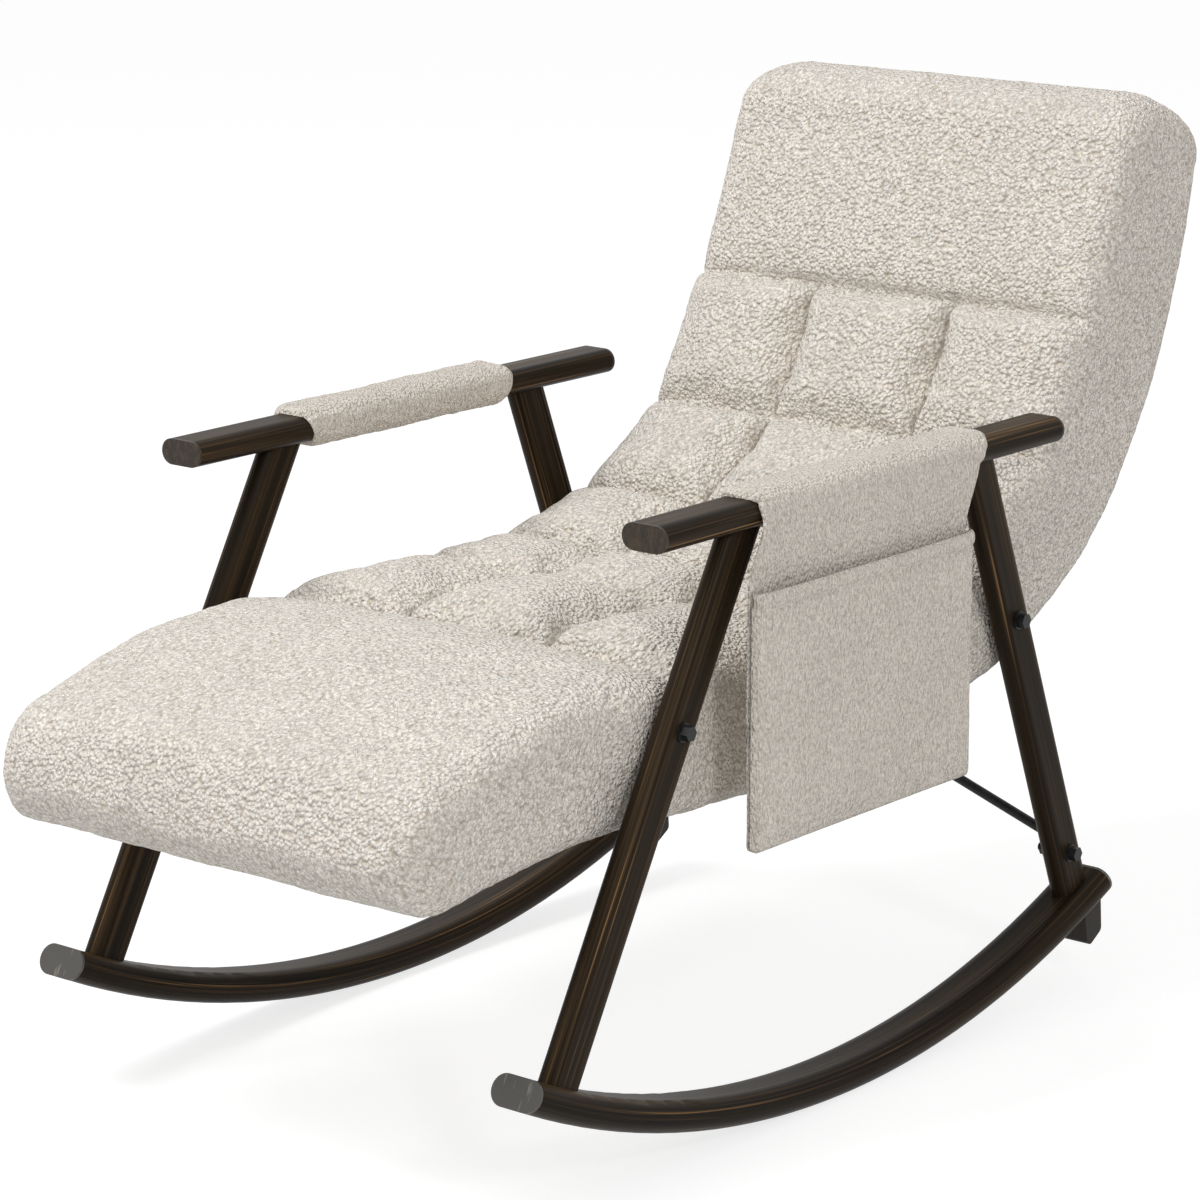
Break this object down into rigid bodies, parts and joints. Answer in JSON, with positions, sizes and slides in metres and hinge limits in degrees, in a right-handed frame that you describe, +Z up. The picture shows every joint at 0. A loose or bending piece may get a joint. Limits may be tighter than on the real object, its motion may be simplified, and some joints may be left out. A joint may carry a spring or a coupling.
{
  "type": "folding rocking chair",
  "caption": "Padded rocking lounge chair on curved flat-oval tube rockers, with a tufted mattress, a backrest that folds forward over the seat, wrapped arms and a hanging side pocket.",
  "frame": {"origin": "on the floor, midway between the two lines where the rockers touch it", "axes": "+Z up, the sitter faces -Y, +X is the sitter's left, the side with the pocket"},
  "size_m": [0.6396, 1.2294, 0.8766],
  "materials": {
    "ebony_tube": "satin wood-grain film on steel tube",
    "tube_cap": "flat moulded cap, faint streaks",
    "stop_block": "matt moulded rubber",
    "black_hardware": "black oxide",
    "inner_frame": "black powder coat",
    "webbing": "woven elastic strap",
    "teddy_fleece": "curly teddy fleece",
    "plush_wrap": "short plush pile"
  },
  "bodies": {
    "frame": {"rocker_left": "ebony_tube", "rocker_end_caps_left": "tube_cap", "front_leg_left": "ebony_tube", "rear_leg_left": "ebony_tube", "arm_left": "ebony_tube", "arm_end_caps_left": "tube_cap", "tipping_stop_left": "stop_block", "seat_rail_left": "inner_frame", "hinge_fixed_plate_left": "black_hardware", "hinge_stop_pin_left": "black_hardware", "arm_pad_left": "plush_wrap", "rocker_right": "ebony_tube", "rocker_end_caps_right": "tube_cap", "front_leg_right": "ebony_tube", "rear_leg_right": "ebony_tube", "arm_right": "ebony_tube", "arm_end_caps_right": "tube_cap", "tipping_stop_right": "stop_block", "seat_rail_right": "inner_frame", "hinge_fixed_plate_right": "black_hardware", "hinge_stop_pin_right": "black_hardware", "arm_pad_right": "plush_wrap", "seat_cross_tube_front": "inner_frame", "seat_cross_tube_middle": "inner_frame", "seat_cross_tube_rear": "inner_frame", "seat_straps": "webbing", "seat_front_bolts": "black_hardware", "hinge_pivot_bolts": "black_hardware", "brace_bolts": "black_hardware", "bolt_washers": "black_hardware", "bolt_nuts": "black_hardware", "seat_front_bushes": "black_hardware", "hinge_bushes": "black_hardware", "brace_rod_front": "black_hardware", "brace_rod_rear": "black_hardware", "brace_tabs": "black_hardware", "front_roll_cushion": "teddy_fleece", "seat_cushion": "teddy_fleece", "seat_rear_cushion": "teddy_fleece", "pocket_backing": "plush_wrap", "pocket_front": "plush_wrap", "pocket_gusset": "plush_wrap", "pocket_hem": "plush_wrap"},
    "backrest": {"back_upright_left": "inner_frame", "back_upright_right": "inner_frame", "back_cross_tube_lower": "inner_frame", "back_cross_tube_middle": "inner_frame", "back_cross_tube_top": "inner_frame", "back_straps": "webbing", "hinge_moving_plate_left": "black_hardware", "hinge_moving_plate_right": "black_hardware", "lumbar_cushion": "teddy_fleece", "back_cushion": "teddy_fleece", "head_cushion": "teddy_fleece"}
  },
  "joints": [
    {"name": "backrest_fold", "type": "hinge", "parent": "frame", "child": "backrest", "pos_m": [0, 0.26883, 0.404], "axis": [1, 0, 0], "range_deg": [0, 100], "deforming": ["lumbar_cushion", "seat_rear_cushion"]}
  ]
}
